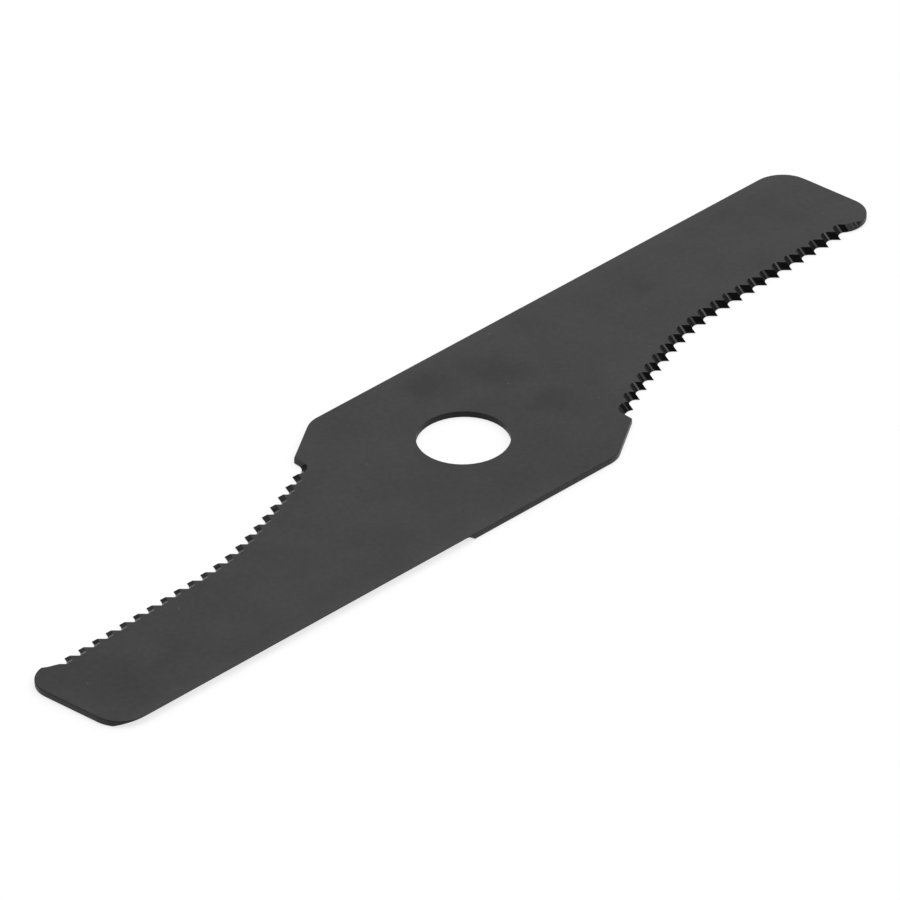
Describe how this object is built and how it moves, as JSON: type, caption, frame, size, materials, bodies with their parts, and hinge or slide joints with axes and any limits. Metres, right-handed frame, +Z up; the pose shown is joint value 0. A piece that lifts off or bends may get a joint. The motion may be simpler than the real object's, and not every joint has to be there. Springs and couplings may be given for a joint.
{
  "type": "brush cutter blade",
  "caption": "Flat steel brush cutter blade: arms swept from a wide hub, saw teeth along one edge, a bevelled knife edge along the other and a round arbor bore in the middle.",
  "frame": {"origin": "on the axis of the arbor bore, at the underside, which is also the middle of the blade's footprint", "axes": "+X along the blade, +Y across it towards the knife edge of the +X arm, +Z up along the bore, out of the top face; the blade lies on its underside"},
  "size_m": [0.3154, 0.0698, 0.0018],
  "materials": {
    "blade": "matte black coating on spring steel"
  },
  "bodies": {
    "root": {"blade": "blade"}
  },
  "joints": []
}
